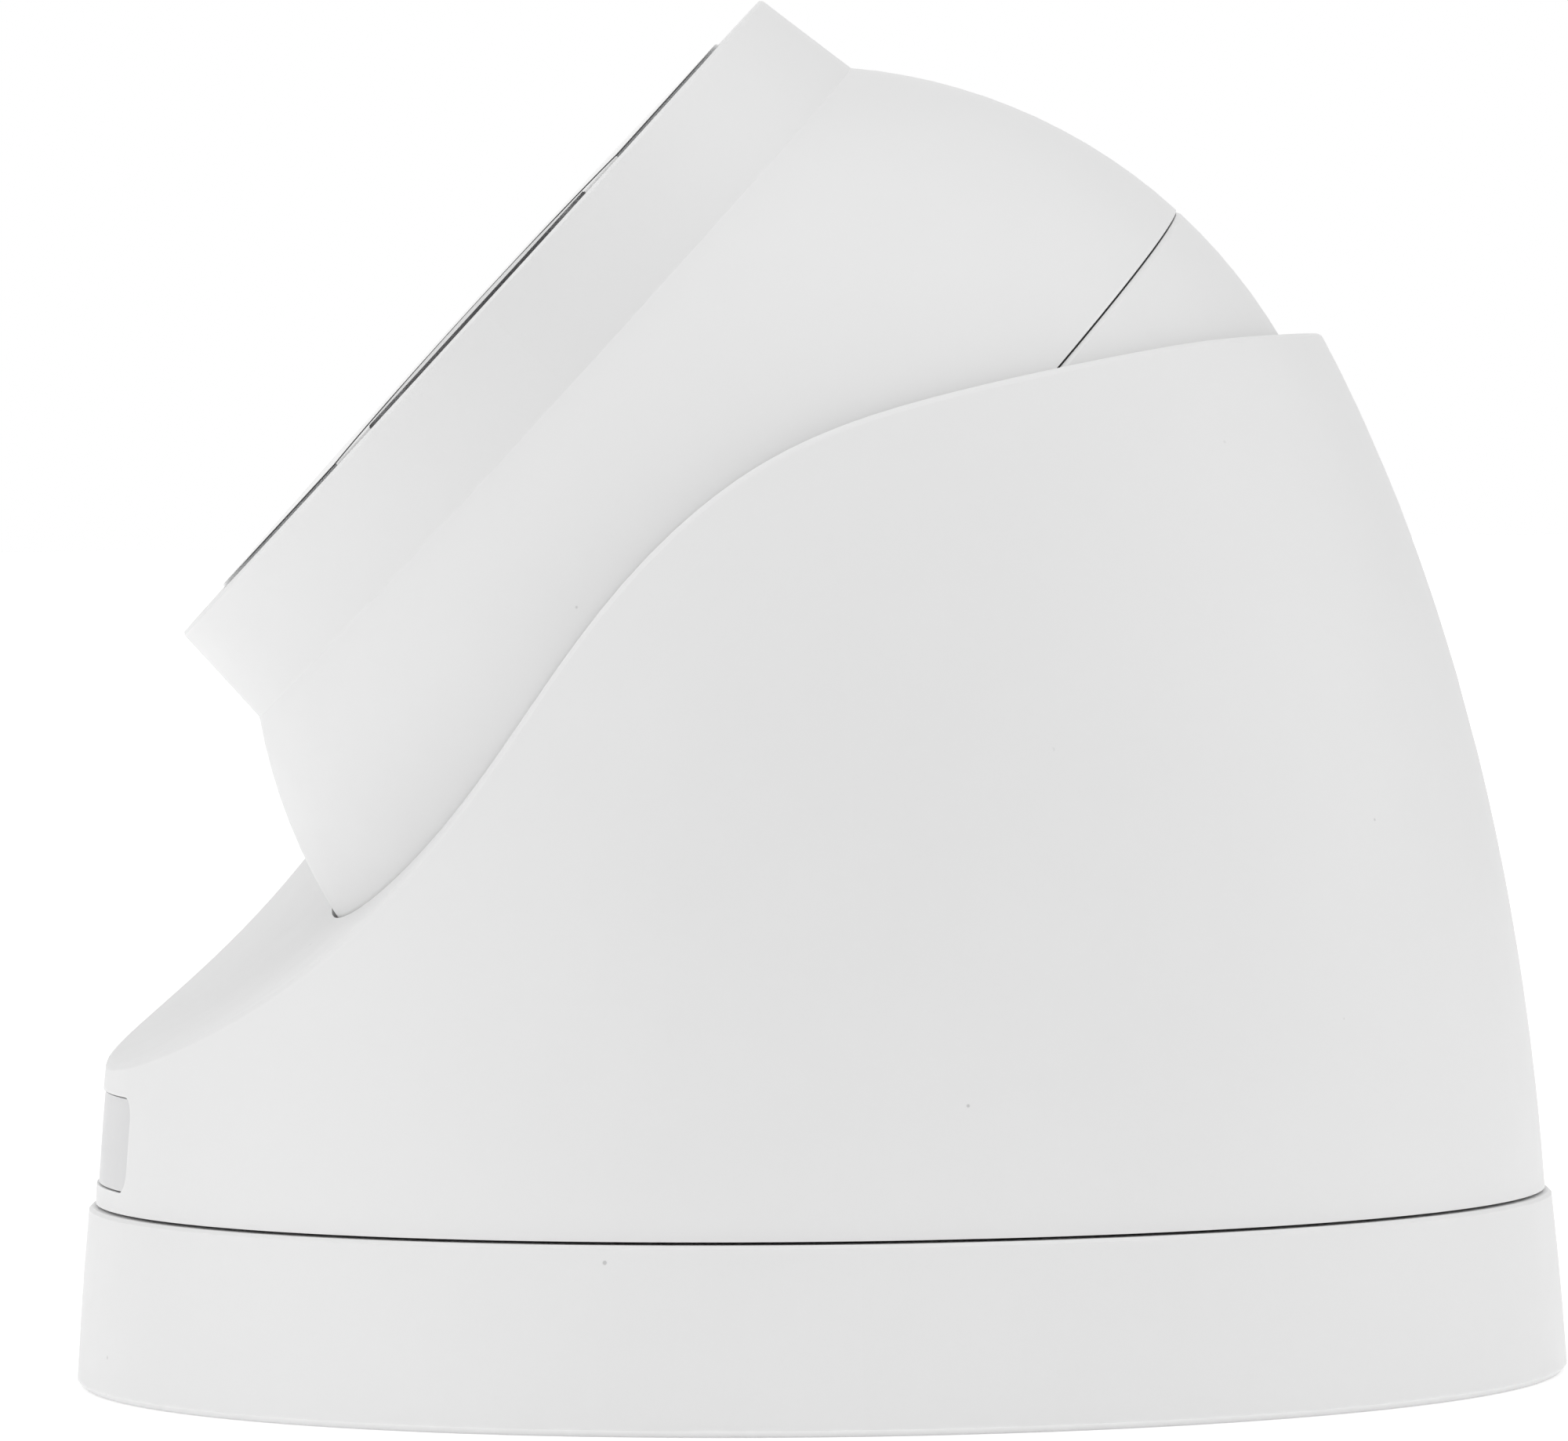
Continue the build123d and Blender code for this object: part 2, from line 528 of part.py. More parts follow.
with BuildPart() as card_hatch:
    block(HATCH, INNER - 3, 10, HATCH_SIZE[0], HATCH_SIZE[1], corner=2.0)
    with Locations(BALL_CENTRE):
        Sphere(BALL_RADIUS - 0.1, mode=Mode.INTERSECT)
        Sphere(BALL_RADIUS - 1.25, mode=Mode.SUBTRACT)
    with BuildSketch(HATCH.offset(INNER - 3)) as hatch_cuts:
        with Locations((-HATCH_SCREW_X, 0), (HATCH_SCREW_X, 0)):
            Circle(0.8 + FIT)
    extrude(hatch_cuts.sketch, amount=12, mode=Mode.SUBTRACT)
card_hatch.part.label = "card_hatch"
export_step(card_hatch.part, "parts/card_hatch.step")

HATCH_HEAD = 49.6
with BuildPart() as hatch_screws:
    with BuildSketch(HATCH.offset(HATCH_HEAD - 3.2)) as hatch_shanks:
        with Locations((-HATCH_SCREW_X, 0), (HATCH_SCREW_X, 0)):
            Circle(0.8)
    extrude(hatch_shanks.sketch, amount=3.9)
    with BuildSketch(HATCH.offset(HATCH_HEAD + 0.7)) as hatch_slots:
        with Locations((-HATCH_SCREW_X, 0), (HATCH_SCREW_X, 0)):
            Rectangle(1.2, 0.4)
    extrude(hatch_slots.sketch, amount=-0.5, mode=Mode.SUBTRACT)
hatch_screws.part.label = "hatch_screws"
export_step(hatch_screws.part, "parts/hatch_screws.step")

# =====================================================================================
# Front window and lamp windows
# =====================================================================================
FRAME_LOW = LEDGE_HIGH + 0.5
WINDOW_TOP = RIM_FACE + WINDOW_PROUD
WINDOW_LOW = WINDOW_TOP - WINDOW_THICK
FRAME_BORE = 28.5
HOOD_RADIUS = 14.8
# Two arcs bound each white rib between the main window and a lamp window.
RIB_OUTER = (40.0, 22.1)  # centre's distance from the axis, radius
RIB_INNER = (36.0, 15.3)
PLAY = 0.12


def crown(drop=0.0):
    """Trim a part of the front face to the window's gently crowned surface."""
    with Locations(HEAD.from_local_coords((0, 0, WINDOW_TOP - drop - WINDOW_CROWN))):
        Sphere(WINDOW_CROWN, mode=Mode.INTERSECT)


with BuildPart() as window_frame:
    disc(HEAD, FRAME_LOW, WINDOW_LOW - FIT - FRAME_LOW, WINDOW_RADIUS, FRAME_BORE)
    with BuildSketch(HEAD.offset(FRAME_LOW)) as ribs:
        Circle(WINDOW_RADIUS)
        with BuildSketch(mode=Mode.INTERSECT):
            with Locations((-RIB_OUTER[0], 0), (RIB_OUTER[0], 0)):
                Circle(RIB_OUTER[1])
        with Locations((-RIB_INNER[0], 0), (RIB_INNER[0], 0)):
            Circle(RIB_INNER[1], mode=Mode.SUBTRACT)
    extrude(ribs.sketch, amount=WINDOW_TOP - FRAME_LOW)
    crown(0.1)
window_frame.part.label = "window_frame"
export_step(window_frame.part, "parts/window_frame.step")

with BuildPart() as window_gasket:
    disc(HEAD, LEDGE_HIGH, FRAME_LOW - LEDGE_HIGH, WINDOW_RADIUS - 0.2, LEDGE_BORE + 0.3)
window_gasket.part.label = "window_gasket"
export_step(window_gasket.part, "parts/window_gasket.step")

with BuildPart() as front_window:
    with BuildSketch(HEAD.offset(WINDOW_LOW)) as main_outline:
        Circle(WINDOW_RADIUS)
        with Locations((-RIB_OUTER[0], 0), (RIB_OUTER[0], 0)):
            Circle(RIB_OUTER[1] + PLAY, mode=Mode.SUBTRACT)
    extrude(main_outline.sketch, amount=WINDOW_THICK)
    crown()
    chamfer(front_window.faces().sort_by(HEAD_AXIS)[-1].edges(), 0.12)
front_window.part.label = "front_window"
export_step(front_window.part, "parts/front_window.step")

with BuildPart() as window_mask:
    with BuildSketch(HEAD.offset(WINDOW_LOW - 0.3)) as mask_outline:
        Circle(FRAME_BORE - 0.2)
        with Locations((-RIB_OUTER[0], 0), (RIB_OUTER[0], 0)):
            Circle(RIB_OUTER[1] + PLAY, mode=Mode.SUBTRACT)
        Circle(HOOD_RADIUS + 0.2, mode=Mode.SUBTRACT)
    extrude(mask_outline.sketch, amount=0.28)
window_mask.part.label = "window_mask"
export_step(window_mask.part, "parts/window_mask.step")

with BuildPart() as lamp_windows:
    with BuildSketch(HEAD.offset(WINDOW_LOW)) as lamp_outline:
        with Locations((-RIB_INNER[0], 0), (RIB_INNER[0], 0)):
            Circle(RIB_INNER[1] - PLAY)
        Circle(WINDOW_RADIUS, mode=Mode.INTERSECT)
    extrude(lamp_outline.sketch, amount=WINDOW_THICK)
    crown()
lamp_windows.part.label = "lamp_windows"
export_step(lamp_windows.part, "parts/lamp_windows.step")

# =====================================================================================
# Chassis, boards and lamps
# =====================================================================================
SENSOR_BOARD_LOW = 9.0
LAMP_BOARD_LOW = 29.0
BOARD = 1.6
PILLAR_CIRCLE = 31.0
SENSOR_PILLAR_CIRCLE = 21.2
STANDOFF_CIRCLE = 34.0
MAIN_BOARD_HIGH = -6.4
POWER_BOARD_HIGH = -22.4
LAMP_PLACES = [(-26, -6.2), (-26, 6.2), (26, -6.2), (26, 6.2)]

with BuildPart() as chassis:
    disc(HEAD, CHASSIS_LOW, CHASSIS_THICK, 48.2, 8)
    posts(HEAD, CHASSIS_LOW, CHASSIS_THICK, 3.9, SHELL_SCREW_CIRCLE, 4, 45, mode=Mode.SUBTRACT)
    posts(HEAD, CHASSIS_LOW, CHASSIS_THICK, 1.25 + FIT, CHASSIS_SCREW_CIRCLE, 4, mode=Mode.SUBTRACT)
    posts(HEAD, CHASSIS_HIGH, LAMP_BOARD_LOW - CHASSIS_HIGH, 2.6, PILLAR_CIRCLE, 4, 45)
    posts(HEAD, CHASSIS_HIGH, SENSOR_BOARD_LOW - CHASSIS_HIGH, 2.4, SENSOR_PILLAR_CIRCLE, 4, 45)
    posts(HEAD, LAMP_BOARD_LOW - 8, 8, 1.25 + FIT, PILLAR_CIRCLE, 4, 45, mode=Mode.SUBTRACT)
    posts(HEAD, SENSOR_BOARD_LOW - 5, 5, 1.25 + FIT, SENSOR_PILLAR_CIRCLE, 4, 45, mode=Mode.SUBTRACT)
    # pedestal that cools the processor
    block(HEAD, -3.9, 3.9 + CHASSIS_LOW, 15, 15, x=18)
    posts(HEAD, CHASSIS_LOW, CHASSIS_THICK, 1.25 + FIT, STANDOFF_CIRCLE, 4, 22.5, mode=Mode.SUBTRACT)
chassis.part.label = "chassis"
export_step(chassis.part, "parts/chassis.step")

with BuildPart() as chassis_screws:
    screws(HEAD, CHASSIS_LOW, 8, 1.25, CHASSIS_SCREW_CIRCLE, 4, head=1.8)
chassis_screws.part.label = "chassis_screws"
export_step(chassis_screws.part, "parts/chassis_screws.step")

with BuildPart() as sensor_board:
    block(HEAD, SENSOR_BOARD_LOW, BOARD, 36, 36, corner=2)
    posts(HEAD, SENSOR_BOARD_LOW, BOARD, 1.25 + FIT, SENSOR_PILLAR_CIRCLE, 4, 45, mode=Mode.SUBTRACT)
sensor_board.part.label = "sensor_board"
export_step(sensor_board.part, "parts/sensor_board.step")

with BuildPart() as image_sensor:
    block(HEAD, SENSOR_BOARD_LOW + BOARD, 1.0, 9, 7)
image_sensor.part.label = "image_sensor"
export_step(image_sensor.part, "parts/image_sensor.step")

with BuildPart() as board_screws:
    screws(HEAD, SENSOR_BOARD_LOW + BOARD, -6, 1.25, SENSOR_PILLAR_CIRCLE, 4, 45, head=1.8)
    screws(HEAD, LAMP_BOARD_LOW + BOARD, -7, 1.25, PILLAR_CIRCLE, 4, 45, head=1.8)
board_screws.part.label = "board_screws"
export_step(board_screws.part, "parts/board_screws.step")

with BuildPart() as lamp_board:
    disc(HEAD, LAMP_BOARD_LOW, BOARD, 35.5, 10.2)
    posts(HEAD, LAMP_BOARD_LOW, BOARD, 1.25 + FIT, PILLAR_CIRCLE, 4, 45, mode=Mode.SUBTRACT)
lamp_board.part.label = "lamp_board"
export_step(lamp_board.part, "parts/lamp_board.step")

with BuildPart() as lamp_leds:
    with BuildSketch(HEAD.offset(LAMP_BOARD_LOW + BOARD)):
        with Locations(*LAMP_PLACES):
            Rectangle(3.4, 3.4)
    extrude(amount=0.8)
    with BuildSketch(HEAD.offset(LAMP_BOARD_LOW + BOARD + 0.8)):
        with Locations(*LAMP_PLACES):
            Circle(1.4)
    extrude(amount=1.2, taper=20)
lamp_leds.part.label = "lamp_leds"
export_step(lamp_leds.part, "parts/lamp_leds.step")

with BuildPart() as lamp_reflectors:
    with BuildSketch(HEAD.offset(LAMP_BOARD_LOW + BOARD)):
        with Locations(*LAMP_PLACES):
            Circle(5.9)
    extrude(amount=6)
    with BuildSketch(HEAD.offset(LAMP_BOARD_LOW + BOARD + 6)):
        with Locations(*LAMP_PLACES):
            Circle(5.3)
    extrude(amount=-6, taper=24, mode=Mode.SUBTRACT)
lamp_reflectors.part.label = "lamp_reflectors"
export_step(lamp_reflectors.part, "parts/lamp_reflectors.step")

with BuildPart() as microphone:
    with BuildSketch(HEAD.offset(LEDGE_LOW - 3.0)):
        with Locations((0, MIC_Y + 2.2)):
            Circle(2.2)
    extrude(amount=2.9)
microphone.part.label = "microphone"
export_step(microphone.part, "parts/microphone.step")

with BuildPart() as main_board:
    disc(HEAD, MAIN_BOARD_HIGH - BOARD, BOARD, 41)
    posts(HEAD, MAIN_BOARD_HIGH - BOARD, BOARD, 1.25 + FIT, STANDOFF_CIRCLE, 4, 22.5, mode=Mode.SUBTRACT)
    posts(HEAD, MAIN_BOARD_HIGH - BOARD, BOARD, 1.25 + FIT, 22, 3, 90, mode=Mode.SUBTRACT)
main_board.part.label = "main_board"
export_step(main_board.part, "parts/main_board.step")

with BuildPart() as processor:
    block(HEAD, MAIN_BOARD_HIGH, 1.4, 14, 14, x=18)
processor.part.label = "processor"
export_step(processor.part, "parts/processor.step")

with BuildPart() as heat_pad:
    block(HEAD, MAIN_BOARD_HIGH + 1.4, 1.1, 13, 13, x=18)
heat_pad.part.label = "heat_pad"
export_step(heat_pad.part, "parts/heat_pad.step")


def standoffs(low, high, circle, count, start):
    """Hexagonal brass spacers with a threaded stud up and a stud down."""
    with BuildSketch(HEAD.offset(low)) as spacers:
        with PolarLocations(circle, count, start):
            RegularPolygon(2.5, 6)
    extrude(spacers.sketch, amount=high - low)
    posts(HEAD, high, 2.4, 1.25, circle, count, start)
    posts(HEAD, low - BOARD, BOARD, 1.25, circle, count, start)


with BuildPart() as board_standoffs:
    standoffs(MAIN_BOARD_HIGH, CHASSIS_LOW, STANDOFF_CIRCLE, 4, 22.5)
    standoffs(POWER_BOARD_HIGH, MAIN_BOARD_HIGH - BOARD, 22, 3, 90)
board_standoffs.part.label = "board_standoffs"
export_step(board_standoffs.part, "parts/board_standoffs.step")

with BuildPart() as power_board:
    disc(HEAD, POWER_BOARD_HIGH - BOARD, BOARD, 26)
    posts(HEAD, POWER_BOARD_HIGH - BOARD, BOARD, 1.25 + FIT, 22, 3, 90, mode=Mode.SUBTRACT)
power_board.part.label = "power_board"
export_step(power_board.part, "parts/power_board.step")

with BuildPart() as power_components:
    block(HEAD, POWER_BOARD_HIGH, 9, 15, 14, x=-8, y=0, corner=1)
    block(HEAD, POWER_BOARD_HIGH, 6, 8, 8, x=9, y=-9, corner=0.5)
    with BuildSketch(HEAD.offset(POWER_BOARD_HIGH)):
        with Locations((10, 6), (3, -14)):
            Circle(4)
    extrude(amount=10)
power_components.part.label = "power_components"
export_step(power_components.part, "parts/power_components.step")

# ---- card reader and reset button behind the hatch ----
CARD_BOARD_LOW = 40.5
RESET_X = 6.6

with BuildPart() as card_board:
    block(HATCH, CARD_BOARD_LOW, 1.2, 22, 16, corner=1)
card_board.part.label = "card_board"
export_step(card_board.part, "parts/card_board.step")

with BuildPart() as card_slot:
    block(HATCH, CARD_BOARD_LOW + 1.2, 1.9, 12.5, 14, x=-3.6)
    block(HATCH, CARD_BOARD_LOW + 1.7, 0.9, 11.3, 12, x=-3.6, y=1.5, mode=Mode.SUBTRACT)
card_slot.part.label = "card_slot"
export_step(card_slot.part, "parts/card_slot.step")

with BuildPart() as reset_switch:
    block(HATCH, CARD_BOARD_LOW + 1.2, 2.0, 4, 4, x=RESET_X)
    with BuildSketch(HATCH.offset(CARD_BOARD_LOW + 2.0)):
        with Locations((RESET_X, 0)):
            Circle(1.0 + FIT)
    extrude(amount=1.2, mode=Mode.SUBTRACT)
reset_switch.part.label = "reset_switch"
export_step(reset_switch.part, "parts/reset_switch.step")

with BuildPart() as reset_button:
    with BuildSketch(HATCH.offset(CARD_BOARD_LOW + 2.5)):
        with Locations((RESET_X, 0)):
            Circle(1.0)
    extrude(amount=2.5)
reset_button.part.label = "reset_button"
export_step(reset_button.part, "parts/reset_button.step")

# =====================================================================================
# Lens and day/night filter
# =====================================================================================
HOLDER_LOW = SENSOR_BOARD_LOW + BOARD
FILTER_LOW = HOLDER_LOW + 2.2
FILTER_THICK = 1.2
FILTER_REST = -3.6
FILTER_POCKET = (24.4, 10.4)
POCKET_HIGH = FILTER_LOW + FILTER_THICK + 0.2
BARREL = 6.5

with BuildPart() as lens_holder:
    block(HEAD, HOLDER_LOW, 6.4, 28, 20, corner=1.5)
    disc(HEAD, HOLDER_LOW + 6.4, 9, 9.6)
    block(HEAD, HOLDER_LOW, POCKET_HIGH - HOLDER_LOW, *FILTER_POCKET, mode=Mode.SUBTRACT)
    disc(HEAD, HOLDER_LOW, 20, 4.6, mode=Mode.SUBTRACT)
    disc(HEAD, 18, 10, BARREL + FIT, mode=Mode.SUBTRACT)
lens_holder.part.label = "lens_holder"
export_step(lens_holder.part, "parts/lens_holder.step")

with BuildPart() as filter_track:
    block(HEAD, FILTER_LOW - 0.9, 0.8, FILTER_POCKET[0] - 0.2, FILTER_POCKET[1] - 0.2)
    block(HEAD, FILTER_LOW - 0.9, 0.8, 8, 7, mode=Mode.SUBTRACT)
filter_track.part.label = "filter_track"
export_step(filter_track.part, "parts/filter_track.step")

with BuildPart() as filter_frame:
    block(HEAD, FILTER_LOW, FILTER_THICK, 16, 9.8, x=FILTER_REST)
    with BuildSketch(HEAD.offset(FILTER_LOW)) as filter_holes:
        with Locations((FILTER_REST - 3.6, 0), (FILTER_REST + 3.6, 0)):
            Rectangle(6.2, 6.2)
    extrude(filter_holes.sketch, amount=FILTER_THICK, mode=Mode.SUBTRACT)
filter_frame.part.label = "filter_frame"
export_step(filter_frame.part, "parts/filter_frame.step")

with BuildPart() as filter_glasses:
    with BuildSketch(HEAD.offset(FILTER_LOW + 0.3)):
        with Locations((FILTER_REST - 3.6, 0), (FILTER_REST + 3.6, 0)):
            Rectangle(6.1, 6.1)
    extrude(amount=0.5)
filter_glasses.part.label = "filter_glasses"
export_step(filter_glasses.part, "parts/filter_glasses.step")

with BuildPart() as lens_barrel:
    turned(
        HEAD_SECTION, HEAD_AXIS,
        (5.0, 18.2), (BARREL, 18.2), (BARREL, 29.0), (9.4, 31.0), (9.4, 36.0),
        (8.0, 36.0), (8.0, 33.4), (5.0, 33.4),
    )
lens_barrel.part.label = "lens_barrel"
export_step(lens_barrel.part, "parts/lens_barrel.step")

with BuildPart() as front_lens:
    with BuildSketch(HEAD_SECTION):
        with BuildLine():
            face = TangentArc((0, 36.5), (7.95, 34.2), tangent=(1, 0))
            Polyline(face @ 1, (7.95, 33.4), (0, 33.4), face @ 0)
        make_face()
    revolve(axis=HEAD_AXIS)
front_lens.part.label = "front_lens"
export_step(front_lens.part, "parts/front_lens.step")

with BuildPart() as rear_lens:
    with BuildSketch(HEAD_SECTION):
        with BuildLine():
            face = TangentArc((0, 19.5), (4.95, 21.0), tangent=(1, 0))
            Polyline(face @ 1, (4.95, 22.4), (0, 22.4), face @ 0)
        make_face()
    revolve(axis=HEAD_AXIS)
rear_lens.part.label = "rear_lens"
export_step(rear_lens.part, "parts/rear_lens.step")

HOOD_LOW = LAMP_BOARD_LOW + BOARD
with BuildPart() as lens_hood:
    turned(
        HEAD_SECTION, HEAD_AXIS,
        (9.7, HOOD_LOW), (HOOD_RADIUS, HOOD_LOW), (HOOD_RADIUS, HOOD_LOW + 1.4), (12.2, HOOD_LOW + 1.4),
        (HOOD_RADIUS, 40.2), (13.4, 40.2), (9.7, 36.2),
    )
lens_hood.part.label = "lens_hood"
export_step(lens_hood.part, "parts/lens_hood.step")

# =====================================================================================
# Cable gland and breather on the flat back
# =====================================================================================
CABLE_BORE = 3.2

with BuildPart() as gland_body:
    disc(HEAD, -FLAT_BACK, 8, GLAND_BORE - 0.15, 5.0)
    with BuildSketch(HEAD.offset(-FLAT_BACK)):
        RegularPolygon(10.6, 6, major_radius=False)
        Circle(5.0, mode=Mode.SUBTRACT)
    extrude(amount=-3)
    disc(HEAD, -FLAT_BACK - 3, -4.5, 8.4, CABLE_BORE + 0.3)
    end_edges = gland_body.edges().filter_by(GeomType.CIRCLE).sort_by(HEAD_AXIS)[0:2]
    chamfer(end_edges.sort_by(SortBy.RADIUS)[-1], 1.2)
gland_body.part.label = "gland_body"
export_step(gland_body.part, "parts/gland_body.step")

with BuildPart() as gland_nut:
    with BuildSketch(HEAD.offset(BACK_INSIDE)):
        RegularPolygon(12.0, 6)
        Circle(GLAND_BORE - 0.1, mode=Mode.SUBTRACT)
    extrude(amount=3.5)
gland_nut.part.label = "gland_nut"
export_step(gland_nut.part, "parts/gland_nut.step")

with BuildPart() as gland_seal:
    disc(HEAD, -FLAT_BACK - 2.5, 8, 4.9, CABLE_BORE)
gland_seal.part.label = "gland_seal"
export_step(gland_seal.part, "parts/gland_seal.step")

with BuildPart() as breather_vent:
    posts(HEAD, -FLAT_BACK, -1.2, 3.6, VENT_Y, 1, 90)
    posts(HEAD, -FLAT_BACK, 2.8, VENT_HOLE - FIT, VENT_Y, 1, 90)
breather_vent.part.label = "breather_vent"
export_step(breather_vent.part, "parts/breather_vent.step")
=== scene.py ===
"""Looks of the turret security camera: materials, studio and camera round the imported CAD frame.

Metres, in the frame's own axes: +Z up, the camera head looks towards -Y and up.
"""
import json
from math import radians

import bpy
from mathutils import Matrix, Vector


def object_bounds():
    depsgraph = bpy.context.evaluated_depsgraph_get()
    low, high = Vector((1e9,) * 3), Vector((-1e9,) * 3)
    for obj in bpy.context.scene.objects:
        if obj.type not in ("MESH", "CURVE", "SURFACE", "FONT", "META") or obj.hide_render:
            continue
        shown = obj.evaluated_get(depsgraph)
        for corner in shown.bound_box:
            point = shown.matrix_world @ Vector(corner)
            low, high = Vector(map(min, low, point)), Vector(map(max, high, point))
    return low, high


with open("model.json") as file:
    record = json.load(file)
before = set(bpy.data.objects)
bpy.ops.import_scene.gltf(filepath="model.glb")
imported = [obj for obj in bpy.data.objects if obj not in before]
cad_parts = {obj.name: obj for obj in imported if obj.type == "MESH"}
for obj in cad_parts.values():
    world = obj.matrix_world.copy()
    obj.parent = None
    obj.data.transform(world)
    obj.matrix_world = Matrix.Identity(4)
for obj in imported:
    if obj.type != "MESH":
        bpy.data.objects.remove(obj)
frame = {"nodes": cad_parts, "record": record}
cad_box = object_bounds()
nodes = frame["nodes"]

MM = 0.001


# =====================================================================================
# Material building blocks
# =====================================================================================
class Surface:
    """One material's node tree, built with short calls. Texture scales are sizes in millimetres."""

    def __init__(self, name):
        self.material = bpy.data.materials.new(name)
        self.material.use_nodes = True
        self.tree = self.material.node_tree
        self.shader = self.tree.nodes["Principled BSDF"]
        self.place = self.tree.nodes.new("ShaderNodeTexCoord").outputs["Object"]

    def set(self, **values):
        """Give the shader's sockets their uniform values; an underscore stands for a space."""
        for key, value in values.items():
            self.shader.inputs[key.replace("_", " ")].default_value = value
        return self

    def link(self, source, target):
        self.tree.links.new(source, target)

    def stretched(self, x=1.0, y=1.0, z=1.0):
        """Object coordinates scaled along each axis."""
        mapping = self.tree.nodes.new("ShaderNodeMapping")
        mapping.inputs["Scale"].default_value = (x, y, z)
        self.link(self.place, mapping.inputs["Vector"])
        return mapping.outputs["Vector"]

    def noise(self, size, detail=2.0, rough=0.5, place=None):
        node = self.tree.nodes.new("ShaderNodeTexNoise")
        node.inputs["Scale"].default_value = 1 / (size * MM)
        node.inputs["Detail"].default_value = detail
        node.inputs["Roughness"].default_value = rough
        self.link(place or self.place, node.inputs["Vector"])
        return node.outputs["Fac"]

    def cells(self, size):
        """Distance to the nearest of points scattered at a mean spacing."""
        node = self.tree.nodes.new("ShaderNodeTexVoronoi")
        node.inputs["Scale"].default_value = 1 / (size * MM)
        self.link(self.place, node.inputs["Vector"])
        return node.outputs["Distance"]

    def math(self, operation, a, b=0.0):
        node = self.tree.nodes.new("ShaderNodeMath")
        node.operation = operation
        for socket, value in zip(node.inputs, (a, b)):
            if isinstance(value, (int, float)):
                socket.default_value = value
            else:
                self.link(value, socket)
        return node.outputs[0]

    def spread(self, value, low, high, to_low=0.0, to_high=1.0):
        """Map a range of a value on another range, and hold it at the ends."""
        node = self.tree.nodes.new("ShaderNodeMapRange")
        self.link(value, node.inputs["Value"])
        ends = {"From Min": low, "From Max": high, "To Min": to_low, "To Max": to_high}
        for key, number in ends.items():
            node.inputs[key].default_value = number
        return node.outputs["Result"]

    def mix(self, factor, a, b):
        """Blend two colours, or two colour outputs, by a factor."""
        node = self.tree.nodes.new("ShaderNodeMix")
        node.data_type = "RGBA"
        self.link(factor, node.inputs["Factor"])
        for socket, value in zip((node.inputs[6], node.inputs[7]), (a, b)):
            if isinstance(value, tuple):
                socket.default_value = (*value, 1.0)
            else:
                self.link(value, socket)
        return node.outputs[2]

    def bump(self, height, depth, previous=None):
        """Add relief of a depth in millimetres."""
        node = self.tree.nodes.new("ShaderNodeBump")
        node.inputs["Strength"].default_value = 1.0
        node.inputs["Distance"].default_value = depth * MM
        self.link(height, node.inputs["Height"])
        if previous is not None:
            self.link(previous, node.inputs["Normal"])
        return node.outputs["Normal"]

    def edges(self, radius, sharp=0.12):
        """1 along convex and concave edges of the mesh, 0 on its faces."""
        bevel = self.tree.nodes.new("ShaderNodeBevel")
        bevel.samples = 4
        bevel.inputs["Radius"].default_value = radius * MM
        geometry = self.tree.nodes.new("ShaderNodeNewGeometry")
        dot = self.tree.nodes.new("ShaderNodeVectorMath")
        dot.operation = "DOT_PRODUCT"
        self.link(bevel.outputs["Normal"], dot.inputs[0])
        self.link(geometry.outputs["Normal"], dot.inputs[1])
        return self.spread(dot.outputs["Value"], 1.0, 1.0 - sharp)


def shade(colour, factor):
    return tuple(channel * factor for channel in colour)


def moulded(name, colour, roughness=0.42, grain=0.35, depth=0.006, specks=True, **shader):
    """Moulded plastic: fine spark texture, faint flow variation, scuffed edges, a few specks."""
    s = Surface(name)
    flow = s.noise(38, detail=3)
    tone = s.mix(s.spread(flow, 0.35, 0.65), shade(colour, 0.985), colour)
    handled = s.noise(9, detail=4, rough=0.65)
    rough = s.spread(handled, 0.3, 0.7, roughness - 0.05, roughness + 0.07)
    edge = s.math("MULTIPLY", s.edges(0.5), s.spread(s.noise(3.1, detail=4), 0.42, 0.62))
    worn = tuple(min(1.0, channel * 1.05 + 0.01) for channel in colour)
    tone = s.mix(edge, tone, worn)
    rough = s.math("SUBTRACT", rough, s.math("MULTIPLY", edge, 0.1))
    if specks:
        spots = s.spread(s.cells(6.5), 0.036, 0.022)
        sparse = s.spread(s.noise(14, detail=0), 0.6, 0.62)
        specked = s.math("MULTIPLY", s.math("MULTIPLY", spots, sparse), 0.45)
        tone = s.mix(specked, tone, shade(colour, 0.35))
    s.link(tone, s.shader.inputs["Base Color"])
    s.link(rough, s.shader.inputs["Roughness"])
    spark = s.bump(s.noise(grain, detail=2), depth)
    wave = s.bump(s.noise(16, detail=1), depth * 2, spark)
    s.link(wave, s.shader.inputs["Normal"])
    return s.set(**shader).material


def rubber(name, colour, roughness=0.75, grain=0.5, depth=0.02, **shader):
    """Soft rubber or foam: pores, a dusty sheen and paler rubbed edges."""
    s = Surface(name)
    dust = s.spread(s.noise(7, detail=5, rough=0.7), 0.45, 0.75)
    tone = s.mix(dust, colour, tuple(channel + 0.03 for channel in colour))
    rubbed = s.math("MULTIPLY", s.edges(0.4), 0.5)
    tone = s.mix(rubbed, tone, tuple(channel + 0.06 for channel in colour))
    s.link(tone, s.shader.inputs["Base Color"])
    s.link(s.spread(dust, 0, 1, roughness - 0.08, roughness + 0.08), s.shader.inputs["Roughness"])
    s.link(s.bump(s.cells(grain), depth, s.bump(s.noise(3), depth)), s.shader.inputs["Normal"])
    return s.set(**shader).material


